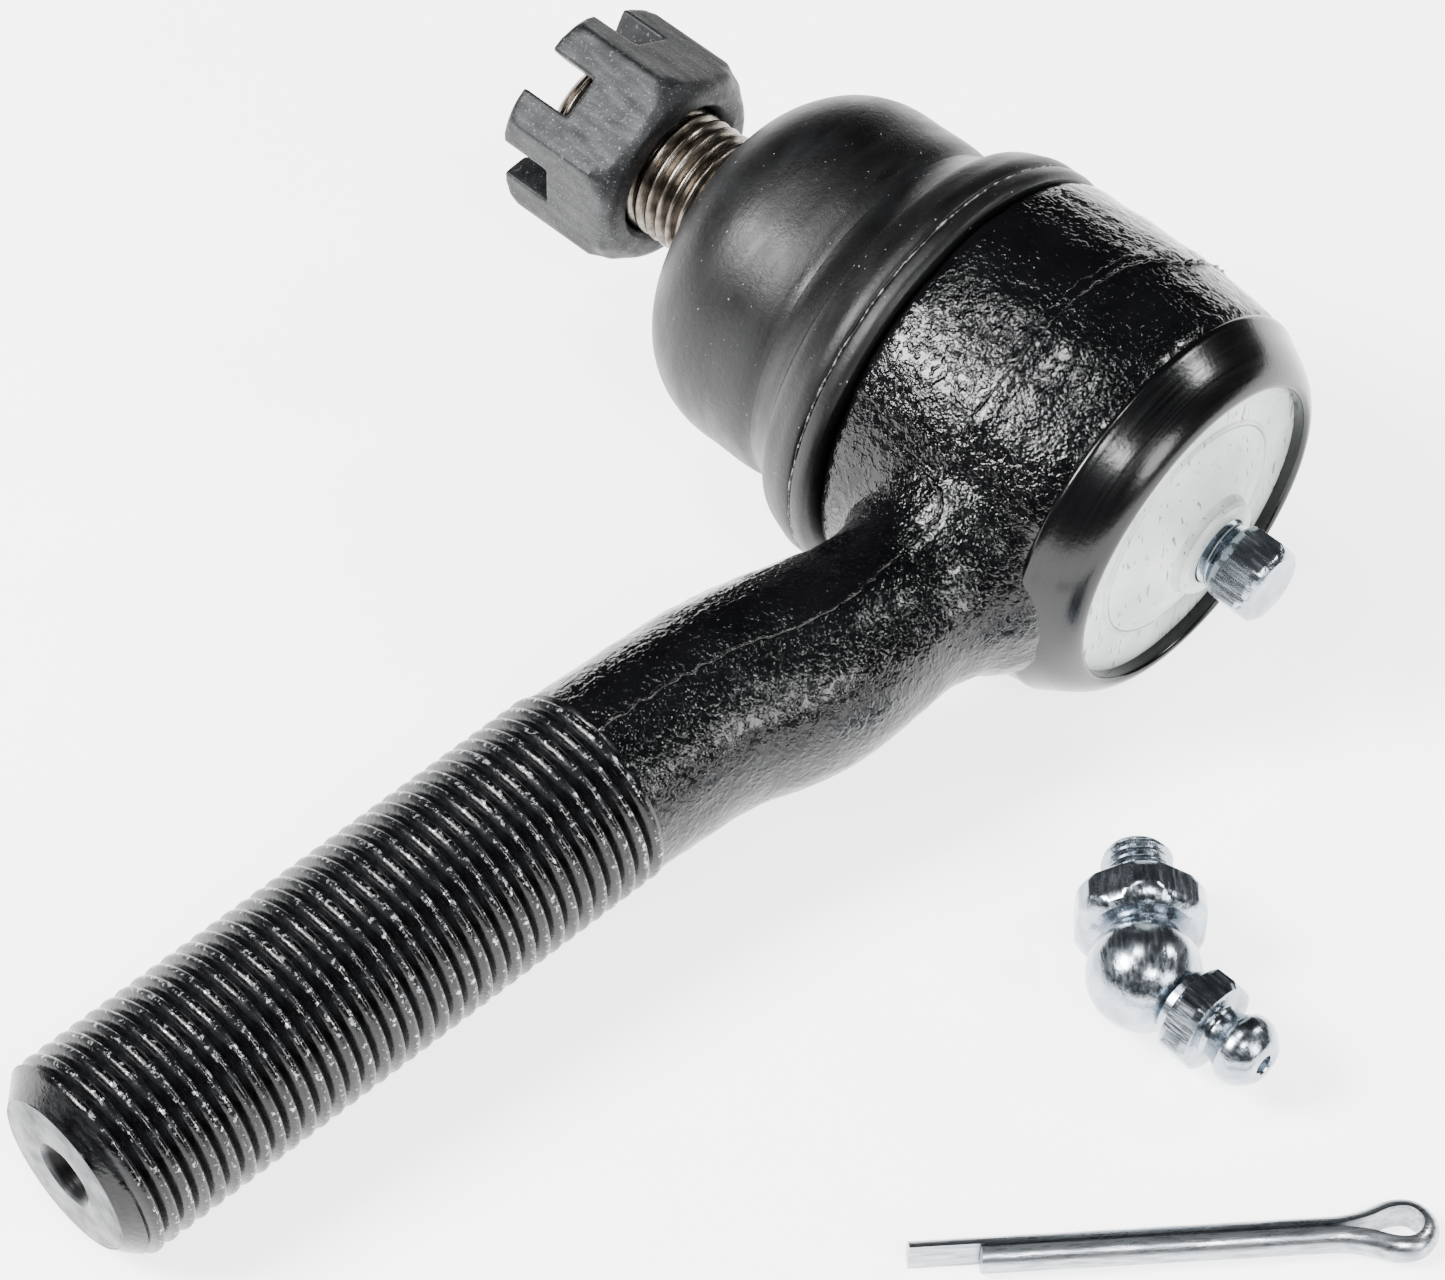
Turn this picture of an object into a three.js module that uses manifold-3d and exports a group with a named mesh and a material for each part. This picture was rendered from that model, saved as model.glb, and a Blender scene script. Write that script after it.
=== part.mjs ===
// Tie rod end with a tapered ball stud, castle nut and dust boot, lying on its side, with its loose
// 45 degree grease fitting and cotter pin beside it. Millimetres, +Z up, the stem towards -X.
import * as THREE from "three";
import { mergeVertices } from "three/addons/utils/BufferGeometryUtils.js";
import Module from "manifold-3d";

const wasm = await Module();
wasm.setup();

// Driving dimensions. The ball centre is the centre of the assembly and its stud runs along +Y.
const CLEAR = 0.3;
const STEM_R = 9.525; // 3/4-16 thread
const STEM_LENGTH = 112.7; // ball centre to the stem's end face
const STEM_LEAN = THREE.MathUtils.degToRad(4.85); // towards the nut
const STEM_OFFSET = 0.35; // towards the cap
const THREAD_LENGTH = 57.2;
const STEM_CHAMFER = 2.1;
const CENTRE_DRILL_R = 3;
const HOUSING_R = 20.15; // on the boot's side of the parting line
const PARTING_RISE = 0.15;
const HOUSING_TOP = 10.7;
const DRAFT = 0.45; // how much the cap side narrows
const MOUTH_R = 11.4;
const LIP_REAR = -10.9;
const LIP_R = 19.5;
const LIP_END = -16.3;
const LIP_INNER_R = 15.1;
const BALL_R = 11.1; // a 7/8 inch ball
const LINER_INNER_R = BALL_R + CLEAR;
const LINER_OUTER_R = 12.7;
const SEAT_R = LINER_OUTER_R + CLEAR;
const BORE_R = 13.7;
const PLATE_R = 16.7;
const PLATE_OUTER = -14.9;
const STEP_RISE = 0.3;
const PLATE_THICK = 1.5;
const STEP_R = 10.9;
const BOSS_R = 4.8;
const BOSS_END = -18.8;
const PLUG_R = 3.1; // 1/4-28 thread
const PLUG_FLATS = 7.14;
const PLUG_HEAD = -20.1;
const PLUG_END = -24.9;
const PLUG_INNER_END = -15.1;
const NECK_R = 6;
const TAPER_R = 7.9;
const TAPER_START = 14.2;
const TAPER_END = 36.2;
const STUD_R = 6.35; // 1/2-20 thread
const STUD_END = 57;
const NUT_FLATS = 19.05;
const NUT_START = 45.5;
const NUT_HEIGHT = 13.4;
const SLOT_WIDTH = 4.3;
const SLOT_DEPTH = 5.4;
const COTTER_HOLE_R = 1.7;
const COTTER_HOLE_AT = 54.6;
const BEAD_R = 21;
const BOOT_START = HOUSING_TOP + CLEAR;
const CREASE_AT = 15.4;
const WAIST_AT = 20.4;
const BELL_R = 17.6;
const BOOT_END = 37.5;

const FINE = 36;
const COARSE = 20;

function finish(color, roughness, metalness) {
  return new THREE.MeshStandardMaterial({ color, roughness, metalness });
}

const blackPaint = finish("#161719", 0.35, 0.3);
const rubber = finish("#1b1c1e", 0.75, 0);
const zinc = finish("#c9cbca", 0.4, 0.9);
const brightZinc = finish("#b9bcbd", 0.3, 1);
const bareSteel = finish("#7d766d", 0.4, 1);
const phosphate = finish("#3a3b3d", 0.7, 0.5);
const springSteel = finish("#5a5c60", 0.4, 0.9);
const acetal = finish("#d8d5c8", 0.5, 0);
const sintered = finish("#8a7a5c", 0.6, 0.7);

// One closed surface with its faces pointing outwards.
function solid(geometry) {
  const bare = geometry.clone();
  bare.deleteAttribute("normal");
  bare.deleteAttribute("uv");
  const merged = mergeVertices(bare, 1e-4);
  const position = merged.attributes.position;
  const corners = new Uint32Array(merged.index.array);
  const a = new THREE.Vector3();
  const b = new THREE.Vector3();
  const c = new THREE.Vector3();
  let volume = 0;
  for (let i = 0; i < corners.length; i += 3) {
    a.fromBufferAttribute(position, corners[i]);
    b.fromBufferAttribute(position, corners[i + 1]);
    c.fromBufferAttribute(position, corners[i + 2]);
    volume += a.dot(b.cross(c));
  }
  if (volume < 0) corners.reverse();
  const mesh = new wasm.Mesh({ numProp: 3, vertProperties: position.array, triVerts: corners });
  return new wasm.Manifold(mesh);
}

function geometryOf(body) {
  const mesh = body.getMesh();
  const geometry = new THREE.BufferGeometry();
  geometry.setAttribute("position", new THREE.BufferAttribute(mesh.vertProperties, 3));
  geometry.setIndex(new THREE.BufferAttribute(mesh.triVerts, 1));
  geometry.computeVertexNormals();
  return geometry;
}

function part(name, body, material) {
  const mesh = new THREE.Mesh(geometryOf(body), material);
  mesh.name = name;
  return mesh;
}

// A solid of revolution about Y from [radius, height] points. It is closed back to its first point.
function turned(points, segments = FINE) {
  const outline = points.map(([radius, height]) => new THREE.Vector2(radius, height));
  outline.push(outline[0].clone());
  return solid(new THREE.LatheGeometry(outline, segments));
}

// Points of a circular arc in the [radius, height] plane, centred on [r, y], from one angle to another.
function arc(r, y, radius, from, to, steps) {
  const points = [];
  for (let i = 0; i <= steps; i += 1) {
    const angle = THREE.MathUtils.degToRad(from + ((to - from) * i) / steps);
    points.push([r + radius * Math.cos(angle), y + radius * Math.sin(angle)]);
  }
  return points;
}

// A tube that joins rings of vertices, closed at both ends by a fan.
function loft(rings) {
  const sides = rings[0].length;
  const positions = [];
  const corners = [];
  for (const ring of rings) {
    for (const point of ring) positions.push(point.x, point.y, point.z);
  }
  for (let i = 0; i + 1 < rings.length; i += 1) {
    for (let j = 0; j < sides; j += 1) {
      const a = i * sides + j;
      const b = i * sides + ((j + 1) % sides);
      corners.push(a, b, a + sides, b, b + sides, a + sides);
    }
  }
  const last = (rings.length - 1) * sides;
  for (let j = 1; j + 1 < sides; j += 1) {
    corners.push(0, j + 1, j, last, last + j, last + j + 1);
  }
  const geometry = new THREE.BufferGeometry();
  geometry.setAttribute("position", new THREE.Float32BufferAttribute(positions, 3));
  geometry.setIndex(corners);
  return solid(geometry);
}

function moved(geometry, matrix) {
  return solid(geometry.applyMatrix4(matrix));
}

function turnedAboutZ(angle) {
  return new THREE.Matrix4().makeRotationZ(angle);
}

const UP = new THREE.Vector3(0, 0, 1);

// The stem's own frame: +Y runs from the ball centre to the stem's end.
const stemFrame = turnedAboutZ(Math.PI / 2 - STEM_LEAN);

function stemPoint(distance, towardsCap) {
  const reach = new THREE.Vector3(-Math.cos(STEM_LEAN), Math.sin(STEM_LEAN), 0);
  const side = new THREE.Vector3(-Math.sin(STEM_LEAN), -Math.cos(STEM_LEAN), 0);
  return reach.multiplyScalar(distance).addScaledVector(side, towardsCap);
}

// The S-bent neck, as [distance from the ball, offset towards the cap, radius]: it leaves the
// housing low on the cap side with a fillet and climbs to the stem's axis.
const NECK = [
  [8, 3.4, 12.4],
  [15, 4, 11.8],
  [18, 4.2, 10.9],
  [20.5, 4.3, 9.2],
  [23.5, 4.3, 8.4],
  [27, 4.3, 8.5],
  [31, 3.95, 9.1],
  [35, 3.35, 9.5],
  [38.5, 2.45, 9.5],
  [42, 1.5, 9.3],
  [46, 0.95, 9.1],
  [52, 0.6, 9.1],
  [STEM_LENGTH - THREAD_LENGTH + 1, STEM_OFFSET, 9.1],
];

function neck() {
  const stations = NECK.map((station) => new THREE.Vector3(...station));
  const course = new THREE.CatmullRomCurve3(stations, false, "centripetal");
  const steps = 26;
  const rings = [];
  for (let i = 0; i <= steps; i += 1) {
    const here = course.getPointAt(i / steps);
    const slope = course.getTangentAt(i / steps);
    const centre = stemPoint(here.x, here.y);
    const forward = stemPoint(slope.x, slope.y).normalize();
    const side = new THREE.Vector3().crossVectors(UP, forward).normalize();
    const ring = [];
    for (let j = 0; j < COARSE; j += 1) {
      const angle = (2 * Math.PI * j) / COARSE;
      const point = centre.clone().addScaledVector(side, here.z * Math.cos(angle));
      ring.push(point.addScaledVector(UP, here.z * Math.sin(angle)));
    }
    rings.push(ring);
  }
  return loft(rings);
}

function stem() {
  const start = STEM_LENGTH - THREAD_LENGTH - 1;
  const body = turned(
    [
      [0, start],
      [9.1, start],
      [9.1, start + 1.6],
      [STEM_R, start + 2.4],
      [STEM_R, STEM_LENGTH - STEM_CHAMFER],
      [STEM_R - STEM_CHAMFER, STEM_LENGTH],
      [0, STEM_LENGTH],
    ],
    32,
  );
  const drill = turned(
    [
      [0, STEM_LENGTH - 6],
      [1.4, STEM_LENGTH - 5],
      [1.4, STEM_LENGTH - 3],
      [CENTRE_DRILL_R + 0.6, STEM_LENGTH + 1],
      [0, STEM_LENGTH + 1],
    ],
    COARSE,
  );
  const placed = stemFrame.clone().setPosition(stemPoint(0, STEM_OFFSET));
  return body.subtract(drill).transform(placed.elements);
}

// The hollow inside the housing, open through the rolled lip and through the stud's mouth.
function socket() {
  const mouth = 43.8;
  const groove = PLATE_OUTER - CLEAR;
  const ledge = PLATE_OUTER + PLATE_THICK + 1.1;
  return turned([
    [0, LIP_END - 2],
    [LIP_INNER_R + 0.9, LIP_END - 2],
    [LIP_INNER_R + 0.4, LIP_END + 0.5],
    [LIP_INNER_R, groove],
    [PLATE_R + CLEAR, groove],
    [PLATE_R + CLEAR, ledge],
    [BORE_R, ledge],
    [BORE_R, -0.6],
    ...arc(0, 0, SEAT_R, 0, mouth, 5),
    [MOUTH_R, HOUSING_TOP + 0.1],
    [MOUTH_R, HOUSING_TOP + 1],
    [0, HOUSING_TOP + 1],
  ]);
}

function housing() {
  const shell = turned([
    [0, HOUSING_TOP],
    [HOUSING_R - 0.6, HOUSING_TOP],
    [HOUSING_R, HOUSING_TOP - 0.6],
    [HOUSING_R, 0.7],
    [HOUSING_R + PARTING_RISE, 0.35],
    [HOUSING_R + PARTING_RISE, -0.35],
    [HOUSING_R - 0.1, -0.8],
    [HOUSING_R - DRAFT, LIP_REAR + 0.3],
    [LIP_R - 0.25, LIP_REAR],
    [LIP_R, LIP_REAR - 0.4],
    [LIP_R - 0.45, LIP_REAR - 1.4],
    [LIP_R - 1, LIP_REAR - 2.5],
    [LIP_R - 1.6, LIP_REAR - 3.5],
    [LIP_R - 2.3, LIP_END + 1.1],
    [LIP_R - 3, LIP_END + 0.4],
    [LIP_R - 3.6, LIP_END],
    [0, LIP_END],
  ]);
  return shell.add(neck()).add(stem()).subtract(socket());
}

function coverPlate() {
  const cone = PLATE_OUTER - STEP_RISE;
  const rise = 2.2;
  const boss = STEP_R - 5.9;
  return turned([
    [PLATE_R, PLATE_OUTER + PLATE_THICK],
    [STEP_R + 0.3, PLATE_OUTER + PLATE_THICK],
    [STEP_R - 0.3, cone + PLATE_THICK],
    [boss + 0.4, cone - rise + PLATE_THICK],
    [PLUG_R + CLEAR, cone - rise + PLATE_THICK],
    [PLUG_R + CLEAR, BOSS_END],
    [BOSS_R - 0.6, BOSS_END],
    [BOSS_R - 0.1, BOSS_END + 0.5],
    [BOSS_R + 0.2, cone - rise],
    [STEP_R - 0.3, cone],
    [STEP_R + 0.3, PLATE_OUTER],
    [PLATE_R, PLATE_OUTER],
  ]);
}

function hexagon(flats, from, to, turn = 0) {
  const geometry = new THREE.CylinderGeometry(flats / Math.sqrt(3), flats / Math.sqrt(3), to - from, 6);
  geometry.rotateY(turn);
  return moved(geometry, new THREE.Matrix4().makeTranslation(0, (from + to) / 2, 0));
}

function greasePlug() {
  const corner = PLUG_FLATS / Math.sqrt(3);
  const blank = turned([
    [0, PLUG_END],
    [corner - 0.9, PLUG_END],
    [corner, PLUG_END + 0.7],
    [corner, PLUG_HEAD - 0.5],
    [corner - 0.6, PLUG_HEAD],
    [0, PLUG_HEAD],
  ]);
  const shank = turned(
    [
      [0, PLUG_HEAD - 1],
      [PLUG_R, PLUG_HEAD - 1],
      [PLUG_R, PLUG_INNER_END - 0.6],
      [PLUG_R - 0.6, PLUG_INNER_END],
      [0, PLUG_INNER_END],
    ],
    COARSE,
  );
  return hexagon(PLUG_FLATS, PLUG_END, PLUG_HEAD, Math.PI / 6).intersect(blank).add(shank);
}

function coverGasket() {
  const low = PLATE_OUTER + PLATE_THICK + CLEAR;
  return turned([
    [14.2, low],
    [PLATE_R, low],
    [PLATE_R, low + 0.5],
    [14.2, low + 0.5],
  ]);
}

// A conical coil of round wire between the spring seat and the cover plate.
class ConicalCoil extends THREE.Curve {
  getPoint(t, target = new THREE.Vector3()) {
    const turns = 1.75;
    const radius = 8.3 - 3.1 * t;
    const angle = 2 * Math.PI * turns * t;
    return target.set(radius * Math.cos(angle), -13.8 - 1.3 * t, radius * Math.sin(angle));
  }
}

function circle(radius, sides) {
  const shape = new THREE.Shape();
  for (let i = 0; i < sides; i += 1) {
    const angle = (2 * Math.PI * i) / sides;
    if (i === 0) shape.moveTo(radius, 0);
    else shape.lineTo(radius * Math.cos(angle), radius * Math.sin(angle));
  }
  shape.closePath();
  return shape;
}

function wire(curve, radius, steps, sides) {
  return solid(new THREE.ExtrudeGeometry(circle(radius, sides), { extrudePath: curve, steps }));
}

function springSeat() {
  return turned([
    [4, -12.9],
    [9.6, -12.9],
    [9.6, -12.3],
    [4, -12.3],
  ]);
}

function lowerSeat() {
  const top = -2;
  const bottom = -12;
  const rim = THREE.MathUtils.radToDeg(Math.asin(top / LINER_INNER_R));
  return turned([
    [BORE_R - CLEAR, top],
    [BORE_R - CLEAR, bottom + 3],
    [BORE_R - CLEAR - 3, bottom],
    [3.2, bottom],
    ...arc(0, 0, LINER_INNER_R, -73.5, rim, 6),
  ]);
}

function bearingLiner() {
  return turned([...arc(0, 0, LINER_OUTER_R, 12, 42, 4), ...arc(0, 0, LINER_INNER_R, 42, 13, 4)]);
}

function halfBall() {
  const split = CLEAR / 2;
  return turned([[NECK_R + CLEAR, split], ...arc(0, 0, BALL_R, 0.8, 43, 5), [NECK_R + CLEAR, 7.57]]);
}

function ballStud() {
  const split = -CLEAR / 2;
  const taperSmall = TAPER_R - (TAPER_END - TAPER_START) / 16;
  const body = turned([
    [0, -10.6],
    ...arc(0, 0, BALL_R, -72.8, -0.8, 7),
    [NECK_R, split],
    [NECK_R, 10.2],
    [NECK_R + 0.5, 12.2],
    [TAPER_R, TAPER_START],
    [TAPER_R, TAPER_START + 1],
    [taperSmall, TAPER_END],
    [STUD_R, TAPER_END + 0.6],
    [STUD_R, STUD_END - 0.9],
    [STUD_R - 0.9, STUD_END],
    [0, STUD_END],
  ]);
  const drill = new THREE.CylinderGeometry(COTTER_HOLE_R, COTTER_HOLE_R, 4 * STUD_R, 16);
  drill.rotateX(Math.PI / 2);
  return body.subtract(moved(drill, new THREE.Matrix4().makeTranslation(0, COTTER_HOLE_AT, 0)));
}

function castleNut() {
  const corner = NUT_FLATS / Math.sqrt(3);
  const end = NUT_START + NUT_HEIGHT;
  const blank = turned([
    [0, NUT_START],
    [8.9, NUT_START],
    [9.5, NUT_START + 0.5],
    [corner, NUT_START + 2.6],
    [corner, end - 1.4],
    [corner - 0.8, end - 0.3],
    [corner - 1.5, end],
    [0, end],
  ]);
  const bore = new THREE.CylinderGeometry(STUD_R + CLEAR, STUD_R + CLEAR, 40, FINE);
  let nut = hexagon(NUT_FLATS, NUT_START, end).intersect(blank);
  nut = nut.subtract(moved(bore, new THREE.Matrix4().makeTranslation(0, NUT_START, 0)));
  for (let i = 0; i < 3; i += 1) {
    const slot = new THREE.BoxGeometry(30, 2 * SLOT_DEPTH, SLOT_WIDTH);
    slot.translate(0, end, 0);
    slot.rotateY((i * Math.PI) / 3);
    nut = nut.subtract(solid(slot));
  }
  return nut;
}

// The boot: two flanges around the housing's mouth, a waist, and a bell that closes on the stud.
function dustBoot() {
  const wall = 2.2;
  const round = 9;
  const centre = BOOT_END - round;
  return turned([
    [20.2, BOOT_START],
    [BEAD_R - 0.2, BOOT_START + 0.4],
    [BEAD_R, 12],
    [BEAD_R, 13.6],
    [BEAD_R - 0.4, CREASE_AT - 0.7],
    [20.2, CREASE_AT - 0.4],
    [19.7, CREASE_AT - 0.4],
    [19.7, CREASE_AT + 0.4],
    [20, CREASE_AT + 0.6],
    [19.6, 17],
    [18.9, 18.4],
    [18, 19.6],
    [17.6, WAIST_AT + 0.6],
    [BELL_R - 0.1, 24],
    ...arc(BELL_R - round, centre, round, 0, 84, 6),
    [STUD_R + 0.4, BOOT_END],
    [STUD_R + 0.4, BOOT_END - 1.6],
    [7.9, BOOT_END - wall],
    ...arc(BELL_R - round, centre, round - wall, 86, 0, 4),
    [BELL_R - wall, 23],
    [BELL_R - wall, 18.5],
    [15.4, 16.9],
    [15.4, BOOT_START],
  ]);
}

// A round ring in the crease between the boot's two flanges.
function retainingRing() {
  return turned(arc(20.45, CREASE_AT, 0.35, 0, 300, 5));
}

// A steel band inside the boot's mouth that holds the bead against the housing.
function beadInsert() {
  return turned([
    [13.4, BOOT_START],
    [15.1, BOOT_START],
    [15.1, 16.6],
    [14.2, 16.6],
    [13.4, 15.6],
  ]);
}

// A garter ring that presses the boot's neck onto the stud, just inside the bell's crown.
function neckRing() {
  return turned(arc(8.9, BOOT_END - 3.1, 0.6, 0, 300, 5), COARSE);
}

// The loose grease fitting, in its own frame: its thread runs along +Y from the elbow's centre.
const FITTING_BALL_R = 5;
const FITTING_FLATS = 11.11;
const FITTING_CORNER_R = 5.96;
const FITTING_TURN = (-3 * Math.PI) / 4;
const NIPPLE_R = 3.25;

function fittingBase() {
  const hexLow = 3.9;
  const hexHigh = 8.2;
  const collarR = 3.6;
  const blank = turned([
    [0, 2],
    [collarR, 2],
    [collarR, hexLow],
    [FITTING_CORNER_R - 1.2, hexLow],
    [FITTING_CORNER_R, hexLow + 1],
    [FITTING_CORNER_R, hexHigh - 0.8],
    [FITTING_CORNER_R - 0.8, hexHigh],
    [0, hexHigh],
  ]);
  const thread = turned(
    [
      [0, hexHigh - 1],
      [PLUG_R, hexHigh - 1],
      [PLUG_R, hexHigh + 4.4],
      [PLUG_R - 0.5, hexHigh + 5],
      [0, hexHigh + 5],
    ],
    COARSE,
  );
  const ball = solid(new THREE.SphereGeometry(FITTING_BALL_R, COARSE, 12));
  const inlet = new THREE.CylinderGeometry(1.25, 1.25, 20, 16);
  inlet.translate(0, 9.5, 0);
  const outlet = new THREE.CylinderGeometry(2.6, 2.6, 12, 20);
  outlet.translate(0, 7, 0);
  outlet.rotateZ(FITTING_TURN);
  const body = hexagon(FITTING_FLATS, 2, hexHigh).intersect(blank).add(thread).add(ball);
  return body.subtract(solid(inlet)).subtract(solid(outlet));
}

// The nipple: a shank pressed into the elbow, a hexagonal collar and the coupler's round head.
function fittingHead() {
  const collarLow = 5.2;
  const collarHigh = 8.4;
  const flats = 7.94;
  const corner = flats / Math.sqrt(3);
  const blank = turned([
    [0, collarLow],
    [corner - 0.7, collarLow],
    [corner, collarLow + 0.7],
    [corner, collarHigh - 0.7],
    [corner - 0.7, collarHigh],
    [0, collarHigh],
  ]);
  const core = turned(
    [
      [0, 2.2],
      [2.3, 2.2],
      [2.3, collarHigh + 0.6],
      [2.45, collarHigh + 1.3],
      [NIPPLE_R, collarHigh + 2.4],
      [NIPPLE_R, collarHigh + 3.4],
      [2.2, collarHigh + 5],
      [1.5, collarHigh + 5.2],
      [0, collarHigh + 5.2],
    ],
    COARSE,
  );
  const passage = turned(
    [
      [0, 1],
      [1.5, 1],
      [1.5, collarHigh + 3.6],
      [0.9, collarHigh + 4.3],
      [0.9, collarHigh + 6.5],
      [0, collarHigh + 6.5],
    ],
    COARSE,
  );
  const hex = hexagon(flats, collarLow, collarHigh, Math.PI / 6);
  const head = hex.intersect(blank).add(core).subtract(passage);
  return head.transform(turnedAboutZ(FITTING_TURN).elements);
}

const CHECK_BALL_R = 1.15;
const CHECK_BALL_AT = 11.3;

function checkBall() {
  const ball = new THREE.SphereGeometry(CHECK_BALL_R, 12, 8);
  ball.translate(0, CHECK_BALL_AT, 0);
  ball.rotateZ(FITTING_TURN);
  return solid(ball);
}

class CheckSpringCoil extends THREE.Curve {
  getPoint(t, target = new THREE.Vector3()) {
    const angle = 2 * Math.PI * 3 * t;
    return target.set(0.95 * Math.cos(angle), 4.4 + 5 * t, 0.95 * Math.sin(angle));
  }
}

function checkSpring() {
  return wire(new CheckSpringCoil(), 0.22, 30, 5).transform(turnedAboutZ(FITTING_TURN).elements);
}

// The cotter pin, in its own frame: its shank runs along X from the eye at x = 0 to the ends.
const COTTER_R = 1.42;
const COTTER_LONG = 37.2;
const COTTER_SHORT = 31.3;
const COTTER_GAP = 0.15; // from each leg's flat side to the middle
const EYE_START = 2.4;

// Half-round wire, folded flat side to flat side: the long leg, the eye, and the short leg.
function cotterPin() {
  const widest = 1.5;
  const eye = [
    [EYE_START, -COTTER_GAP],
    [1, -COTTER_GAP],
    [-1, -0.6],
    [-3, -widest],
    [-5, -widest],
    [-6, 0],
    [-5, widest],
    [-3, widest],
    [-1, 0.6],
    [1, COTTER_GAP],
    [EYE_START, COTTER_GAP],
  ].map(([x, y]) => new THREE.Vector3(x, y, 0));
  const route = new THREE.CurvePath();
  route.add(new THREE.LineCurve3(new THREE.Vector3(COTTER_LONG, -COTTER_GAP, 0), eye[0]));
  route.add(new THREE.CatmullRomCurve3(eye, false, "centripetal"));
  const last = eye.at(-1);
  route.add(new THREE.LineCurve3(last, new THREE.Vector3(COTTER_SHORT, COTTER_GAP, 0)));
  const steps = 48;
  const rings = [];
  for (let i = 0; i <= steps; i += 1) {
    const centre = route.getPointAt(i / steps);
    const outward = new THREE.Vector3().crossVectors(route.getTangentAt(i / steps), UP);
    const ring = [];
    for (let j = 0; j <= 6; j += 1) {
      const angle = Math.PI * (j / 6 - 0.5);
      const point = centre.clone().addScaledVector(outward, -COTTER_R * Math.cos(angle));
      ring.push(point.addScaledVector(UP, COTTER_R * Math.sin(angle)));
    }
    rings.push(ring);
  }
  return loft(rings);
}

const assembly = new THREE.Group();
assembly.add(
  part("housing_forging", housing(), blackPaint),
  part("cover_plate", coverPlate(), zinc),
  part("grease_plug", greasePlug(), brightZinc),
  part("cover_gasket", coverGasket(), rubber),
  part("preload_spring", wire(new ConicalCoil(), 0.55, 40, 6), springSteel),
  part("spring_seat", springSeat(), springSteel),
  part("lower_seat", lowerSeat(), acetal),
  part("bearing_liner", bearingLiner(), acetal),
  part("half_ball", halfBall(), sintered),
  part("ball_stud", ballStud(), bareSteel),
  part("castle_nut", castleNut(), phosphate),
  part("dust_boot", dustBoot(), rubber),
  part("boot_retaining_ring", retainingRing(), springSteel),
  part("boot_bead_insert", beadInsert(), springSteel),
  part("boot_neck_ring", neckRing(), springSteel),
);

const fitting = new THREE.Group();
fitting.add(
  part("fitting_base", fittingBase(), brightZinc),
  part("fitting_nipple", fittingHead(), brightZinc),
  part("fitting_check_ball", checkBall(), brightZinc),
  part("fitting_check_spring", checkSpring(), springSteel),
);

const cotter = new THREE.Group();
cotter.add(part("cotter_pin", cotterPin(), brightZinc));

// Lying on its side, the assembly rests on the boot's bead, the rolled lip and the stem's end.
const roll = Math.asin((BEAD_R - LIP_R) / (12.8 - LIP_REAR));
const pitch = -Math.asin((BEAD_R - STEM_R) / (STEM_LENGTH - STEM_CHAMFER));
assembly.rotation.set(roll, pitch, 0);

// The loose pieces lie on the same surface, in front of the housing and the neck.
const floor = -20.32;
fitting.position.set(-32.72, -38.36, floor + FITTING_CORNER_R + 0.05);
fitting.rotation.z = THREE.MathUtils.degToRad(-48.1);
cotter.position.set(-38.93, -66.48, floor + COTTER_R);
cotter.rotation.z = THREE.MathUtils.degToRad(137.7);

const lying = new THREE.Group();
lying.add(assembly, fitting, cotter);

// The origin is under the middle of everything's footprint.
const box = new THREE.Box3().setFromObject(lying, true);
const middle = box.getCenter(new THREE.Vector3());
lying.position.set(-middle.x, -middle.y, -box.min.z);

const tieRodEnd = new THREE.Group();
tieRodEnd.add(lying);

export default tieRodEnd;
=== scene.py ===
import math
import bmesh
import bpy
from mathutils import Matrix, Vector, noise
from mathutils.bvhtree import BVHTree


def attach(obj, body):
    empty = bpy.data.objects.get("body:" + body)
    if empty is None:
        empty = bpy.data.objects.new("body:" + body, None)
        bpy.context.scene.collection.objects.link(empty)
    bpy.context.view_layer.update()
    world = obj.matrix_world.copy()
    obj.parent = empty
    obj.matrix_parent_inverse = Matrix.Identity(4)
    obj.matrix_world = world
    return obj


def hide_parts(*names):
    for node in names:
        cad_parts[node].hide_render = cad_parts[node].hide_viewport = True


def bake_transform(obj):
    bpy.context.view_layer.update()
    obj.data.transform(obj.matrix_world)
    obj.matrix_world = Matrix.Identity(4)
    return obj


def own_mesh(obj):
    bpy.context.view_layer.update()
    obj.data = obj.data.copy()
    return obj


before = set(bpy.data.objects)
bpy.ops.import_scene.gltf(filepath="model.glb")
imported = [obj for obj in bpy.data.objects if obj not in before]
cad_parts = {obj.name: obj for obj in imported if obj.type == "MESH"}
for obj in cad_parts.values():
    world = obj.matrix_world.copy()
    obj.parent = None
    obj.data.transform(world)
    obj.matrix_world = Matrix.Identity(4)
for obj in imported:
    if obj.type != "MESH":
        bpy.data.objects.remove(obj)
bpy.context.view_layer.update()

# Housing: a steel drop forging, its round socket and bent neck in one piece, trimmed along its
# parting line. It is dipped in gloss black paint over the rough forged skin.
SKIN_VOXEL = 0.4
BALL_CENTRE = Vector((45.88, 6.357, 20.32))
ROLL = math.radians(3.629)
PITCH = math.radians(-5.955)
TILT = Matrix.Rotation(ROLL, 4, "X") @ Matrix.Rotation(PITCH, 4, "Y")
LYING = Matrix.Translation(BALL_CENTRE) @ TILT
TABLE_GAP = 0.03
STEM_LEAN = math.radians(4.85)
STEM_END = 112.7
THREAD_START = 55.5
HOUSING_OUTLINE = [
    (13.0, 10.6), (19.6, 10.6), (20.2, 10.2), (20.35, 9.4), (20.4, 6), (20.45, 2), (20.4, -2),
    (20.1, -6), (19.9, -8), (19.55, -10.3), (19.1, -11.0), (18.6, -11.6), (14.0, -11.6), (14.0, -4),
    (13.2, 3), (12.4, 8),
]
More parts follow.
